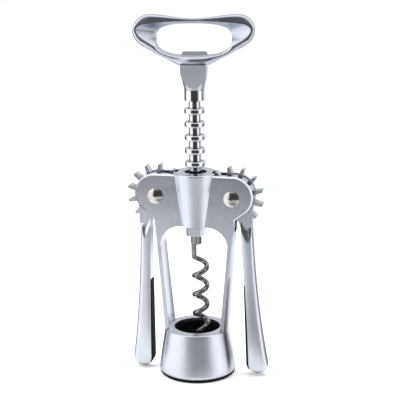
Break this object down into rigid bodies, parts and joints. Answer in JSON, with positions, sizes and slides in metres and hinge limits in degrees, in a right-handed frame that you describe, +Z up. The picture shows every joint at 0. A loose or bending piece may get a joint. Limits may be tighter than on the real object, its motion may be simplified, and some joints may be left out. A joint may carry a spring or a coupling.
{
  "type": "wing corkscrew",
  "caption": "Wing corkscrew: bell-footed frame, geared swinging arms, ringed sliding spindle with open wire worm and bottle-opener loop head.",
  "frame": {"origin": "centre of the bell's foot, on the bottle guide's lower face", "axes": "+Z up along the spindle, front faces -Y, wings swing out along X"},
  "size_m": [0.073, 0.04, 0.1881],
  "materials": {
    "satin_zinc": "satin chrome on die-cast zinc",
    "bright_zinc": "polished chrome on zinc",
    "worm_steel": "plated steel wire",
    "rivet_steel": "domed, nickel plated",
    "hidden_steel": "plain",
    "black_plastic": "moulded, matte",
    "black_grip": "soft, matte"
  },
  "bodies": {
    "frame": {"frame_casting": "satin_zinc", "bottle_guide": "black_plastic", "left_rivet_front": "rivet_steel", "left_rivet_rear": "rivet_steel", "right_rivet_front": "rivet_steel", "right_rivet_rear": "rivet_steel"},
    "collar": {"stop_collar": "satin_zinc"},
    "spindle": {"rack_spindle": "bright_zinc", "opener_head": "satin_zinc", "neck_pin": "hidden_steel", "worm_ferrule": "worm_steel", "ferrule_pin": "hidden_steel", "worm": "worm_steel"},
    "left_wing": {"left_lever": "satin_zinc", "left_grip_pad": "black_grip"},
    "right_wing": {"right_lever": "satin_zinc", "right_grip_pad": "black_grip"}
  },
  "joints": [
    {"name": "rack_travel", "type": "slide", "parent": "frame", "child": "collar", "axis": [0, 0, 1], "range_m": [-0.035, 0]},
    {"name": "spindle_turn", "type": "hinge", "parent": "collar", "child": "spindle", "pos_m": [0, 0, 0.0773], "axis": [0, 0, 1], "continuous": true},
    {"name": "left_wing_swing", "type": "hinge", "parent": "frame", "child": "left_wing", "pos_m": [-0.0198, 0, 0.0955], "axis": [0, 1, 0], "range_deg": [0, 142.6]},
    {"name": "right_wing_swing", "type": "hinge", "parent": "frame", "child": "right_wing", "pos_m": [0.0198, 0, 0.0955], "axis": [0, -1, 0], "range_deg": [0, 142.6]}
  ],
  "couplings": [
    {"joint": "left_wing_swing", "follows": "rack_travel", "rad_per_m": -71.076},
    {"joint": "right_wing_swing", "follows": "rack_travel", "rad_per_m": -71.076}
  ]
}
